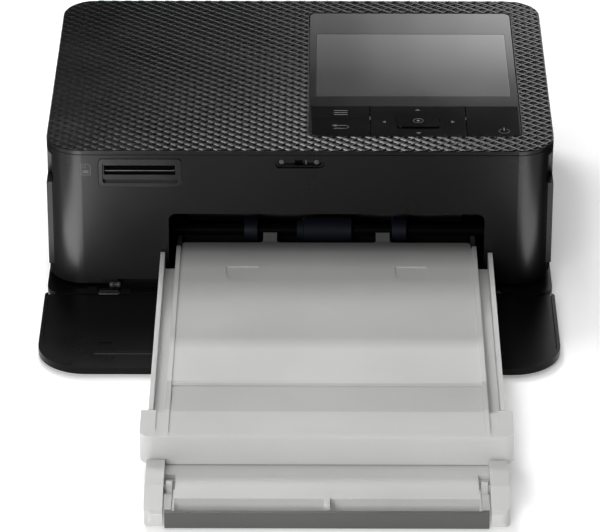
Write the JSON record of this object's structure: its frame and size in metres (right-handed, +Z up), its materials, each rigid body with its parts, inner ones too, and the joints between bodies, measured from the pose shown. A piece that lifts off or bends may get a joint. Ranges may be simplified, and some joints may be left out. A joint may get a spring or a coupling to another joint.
{
  "type": "compact photo printer",
  "caption": "Compact dye-sublimation photo printer with a tilting front cover, top control panel, side ink door and a slide-in paper cassette with hinged lids.",
  "frame": {"origin": "on the table surface, under the middle of the whole object's box", "axes": "+Z up, +X to the right seen from the front, +Y from the paper cassette towards the rear panel"},
  "size_m": [0.184, 0.2964, 0.0582],
  "materials": {
    "shell_black": "satin",
    "top_black": "fine lozenge relief",
    "gloss_black": "gloss",
    "panel_black": "high gloss",
    "window_glass": "high gloss",
    "side_grey": "satin",
    "dark_plastic": "matt",
    "base_black": "matt",
    "frosted": "frosted translucent",
    "smoke": "satin smoke grey",
    "steel": "brushed",
    "alloy": "extruded",
    "rubber": "matt",
    "nylon": "satin",
    "brass": "machined",
    "circuit": "solder mask",
    "ribbon_film": "film",
    "spool_plastic": "satin"
  },
  "bodies": {
    "printer": {"main_shell": "shell_black", "rear_panel": "shell_black", "left_side_panel": "side_grey", "top_cover": "top_black", "bottom_cover": "base_black", "rubber_feet": "rubber", "case_screws": "steel", "control_panel": "panel_black", "display_window": "window_glass", "display_module": "steel", "display_bracket": "steel", "key_board": "circuit", "card_slot_surround": "dark_plastic", "card_reader": "steel", "cover_latch": "dark_plastic", "latch_contacts": "steel", "front_hinge_pins": "steel", "ink_door_pins": "steel", "chassis_left": "steel", "chassis_right": "steel", "chassis_crossbars": "steel", "paper_guide": "dark_plastic", "ink_bay_floor": "steel", "drive_motor": "steel", "head_pivot": "steel", "main_board": "circuit", "fan_frame": "dark_plastic", "power_inlet": "dark_plastic", "usb_port": "steel"},
    "front_cover": {"front_cover": "gloss_black"},
    "menu_key": {"menu_key": "panel_black"},
    "back_key": {"back_key": "panel_black"},
    "direction_pad": {"direction_pad": "panel_black"},
    "ok_key": {"ok_key": "panel_black"},
    "power_key": {"power_key": "panel_black"},
    "ink_door": {"ink_door": "shell_black"},
    "ink_cassette": {"ink_cassette": "dark_plastic", "ink_ribbon": "ribbon_film"},
    "supply_spool": {"supply_spool": "spool_plastic"},
    "takeup_spool": {"takeup_spool": "spool_plastic"},
    "pickup": {"pickup_shaft": "steel", "pickup_rollers": "rubber", "pickup_gear": "nylon"},
    "capstan": {"capstan_roller": "steel", "capstan_gear": "nylon"},
    "pinch_roller": {"pinch_roller": "rubber"},
    "platen": {"platen_roller": "rubber", "platen_gear": "nylon"},
    "idler_gear": {"idler_gear": "nylon"},
    "motor_pinion": {"motor_pinion": "brass"},
    "print_head": {"head_arm": "steel", "thermal_head": "alloy"},
    "fan_rotor": {"fan_rotor": "dark_plastic"},
    "paper_cassette": {"cassette_base": "frosted", "cassette_pins": "steel", "lift_plate": "dark_plastic"},
    "inner_lid": {"cassette_inner_lid": "frosted"},
    "outer_lid": {"cassette_outer_lid": "smoke"}
  },
  "joints": [
    {"name": "front_cover_hinge", "type": "hinge", "parent": "printer", "child": "front_cover", "pos_m": [0, 0.011, 0.0024], "axis": [-1, 0, 0], "range_deg": [0, 1]},
    {"name": "menu_key_press", "type": "slide", "parent": "printer", "child": "menu_key", "axis": [0, 0, -1], "range_m": [0, 0.0004], "stiffness_N_per_m": 100, "springref_m": -0.0005},
    {"name": "back_key_press", "type": "slide", "parent": "printer", "child": "back_key", "axis": [0, 0, -1], "range_m": [0, 0.0004], "stiffness_N_per_m": 100, "springref_m": -0.0005},
    {"name": "direction_pad_press", "type": "slide", "parent": "printer", "child": "direction_pad", "axis": [0, 0, -1], "range_m": [0, 0.0004], "stiffness_N_per_m": 100, "springref_m": -0.0005},
    {"name": "ok_key_press", "type": "slide", "parent": "printer", "child": "ok_key", "axis": [0, 0, -1], "range_m": [0, 0.0004], "stiffness_N_per_m": 100, "springref_m": -0.0005},
    {"name": "power_key_press", "type": "slide", "parent": "printer", "child": "power_key", "axis": [0, 0, -1], "range_m": [0, 0.0004], "stiffness_N_per_m": 100, "springref_m": -0.0005},
    {"name": "ink_door_hinge", "type": "hinge", "parent": "printer", "child": "ink_door", "pos_m": [0.0874, 0.0702, 0.0076], "axis": [0, 1, 0], "range_deg": [0, 90]},
    {"name": "ink_cassette_slide", "type": "slide", "parent": "printer", "child": "ink_cassette", "axis": [1, 0, 0], "range_m": [0, 0.021]},
    {"name": "supply_spool_spin", "type": "hinge", "parent": "ink_cassette", "child": "supply_spool", "pos_m": [0, 0.0692, 0.03135], "axis": [1, 0, 0], "continuous": true},
    {"name": "takeup_spool_spin", "type": "hinge", "parent": "ink_cassette", "child": "takeup_spool", "pos_m": [0, 0.1072, 0.03135], "axis": [1, 0, 0], "continuous": true},
    {"name": "capstan_spin", "type": "hinge", "parent": "printer", "child": "capstan", "pos_m": [0, 0.05091, 0.0163], "axis": [1, 0, 0], "continuous": true},
    {"name": "pickup_spin", "type": "hinge", "parent": "printer", "child": "pickup", "pos_m": [0, 0.03412, 0.0166], "axis": [1, 0, 0], "continuous": true},
    {"name": "pinch_spin", "type": "hinge", "parent": "printer", "child": "pinch_roller", "pos_m": [0, 0.05091, 0.0232], "axis": [1, 0, 0], "continuous": true},
    {"name": "platen_spin", "type": "hinge", "parent": "printer", "child": "platen", "pos_m": [0, 0.08921, 0.0135], "axis": [1, 0, 0], "continuous": true},
    {"name": "idler_spin", "type": "hinge", "parent": "printer", "child": "idler_gear", "pos_m": [0, 0.07006, 0.0149], "axis": [1, 0, 0], "continuous": true},
    {"name": "motor_spin", "type": "hinge", "parent": "printer", "child": "motor_pinion", "pos_m": [0, 0.07506, 0.0284], "axis": [1, 0, 0], "continuous": true},
    {"name": "print_head_hinge", "type": "hinge", "parent": "printer", "child": "print_head", "pos_m": [0.0096, 0.1272, 0.0466], "axis": [1, 0, 0], "range_deg": [0, 3.5], "stiffness_Nm_per_rad": 0.5, "springref_deg": -5.73},
    {"name": "fan_spin", "type": "hinge", "parent": "printer", "child": "fan_rotor", "pos_m": [-0.071, 0.1392, 0.027], "axis": [0, 1, 0], "continuous": true},
    {"name": "paper_cassette_slide", "type": "slide", "parent": "printer", "child": "paper_cassette", "axis": [0, -1, 0], "range_m": [0, 0.1]},
    {"name": "inner_lid_hinge", "type": "hinge", "parent": "paper_cassette", "child": "inner_lid", "pos_m": [0.0096, -0.1328, 0.006], "axis": [1, 0, 0], "range_deg": [0, 3.5]},
    {"name": "outer_lid_hinge", "type": "hinge", "parent": "paper_cassette", "child": "outer_lid", "pos_m": [0.0096, -0.1328, 0.006], "axis": [-1, 0, 0], "range_deg": [0, 95]}
  ],
  "couplings": [
    {"joint": "ink_cassette_slide", "follows": "ink_door_hinge", "m_per_rad": 0.013},
    {"joint": "pickup_spin", "follows": "capstan_spin", "ratio": -1.3333},
    {"joint": "pinch_spin", "follows": "capstan_spin", "ratio": -1.625},
    {"joint": "idler_spin", "follows": "capstan_spin", "ratio": -1},
    {"joint": "platen_spin", "follows": "capstan_spin", "ratio": 1},
    {"joint": "motor_spin", "follows": "capstan_spin", "ratio": 2}
  ]
}
